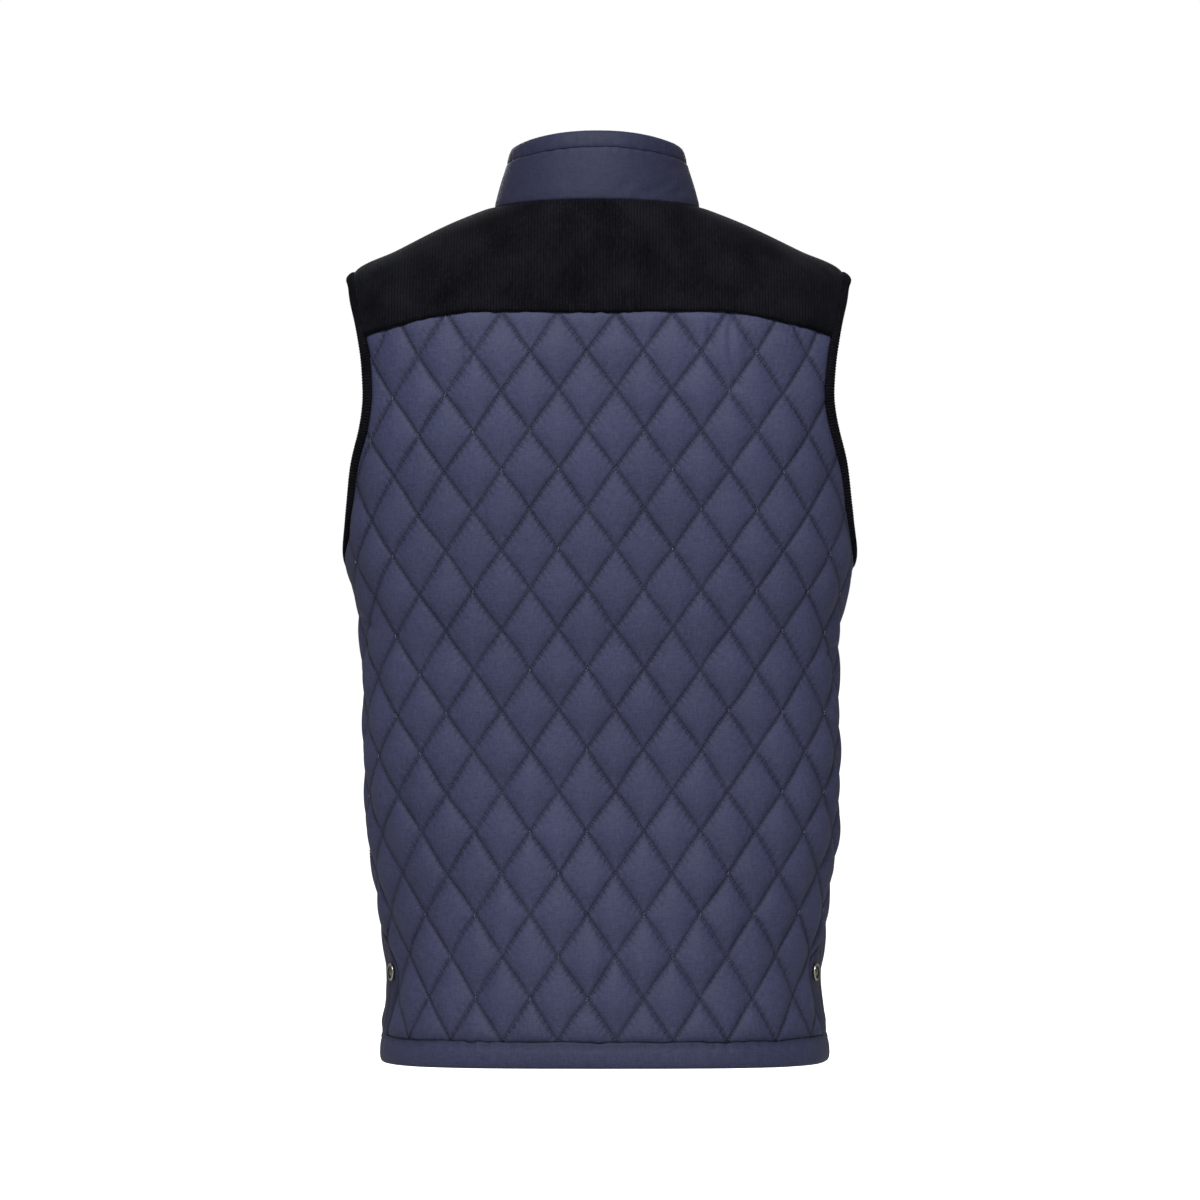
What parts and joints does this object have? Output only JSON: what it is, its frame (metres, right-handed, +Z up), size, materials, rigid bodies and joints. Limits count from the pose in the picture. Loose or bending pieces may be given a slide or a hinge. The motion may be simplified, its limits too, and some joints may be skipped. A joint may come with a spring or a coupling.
{
  "type": "quilted vest",
  "caption": "Hollow filled-out vest: diamond-quilted body, corduroy yoke and armhole bindings, plain stand collar, hem bands, side vents and a press-stud front.",
  "frame": {"origin": "in the middle between the shoulders, level with the middle of each shoulder line, where the wearer carries the garment", "axes": "+Z up, the front faces -Y, the wearer's left is +X"},
  "size_m": [0.4199, 0.2726, 0.7532],
  "materials": {
    "quilted_cloth": "fine navy plain weave over thin wadding, slight sheen",
    "corduroy": "near-black corduroy with fine wales and a soft nap",
    "plain_cloth": "fine navy plain weave, slight sheen",
    "stud_metal": "antique brass with a bright rim"
  },
  "bodies": {
    "root": {"back_panel": "quilted_cloth", "front_panel_left": "quilted_cloth", "front_panel_right": "quilted_cloth", "yoke": "corduroy", "armhole_binding_left": "corduroy", "armhole_binding_right": "corduroy", "collar": "plain_cloth", "collar_roll": "plain_cloth", "hem_band_back": "plain_cloth", "hem_band_front_left": "plain_cloth", "hem_band_front_right": "plain_cloth", "vent_strip_left": "plain_cloth", "vent_strip_right": "plain_cloth", "front_placket": "plain_cloth", "front_underlap": "plain_cloth", "vent_stud_left": "stud_metal", "vent_stud_right": "stud_metal", "placket_stud_1": "stud_metal", "placket_stud_2": "stud_metal", "placket_stud_3": "stud_metal", "placket_stud_4": "stud_metal", "placket_stud_5": "stud_metal", "placket_stud_6": "stud_metal"}
  },
  "joints": []
}
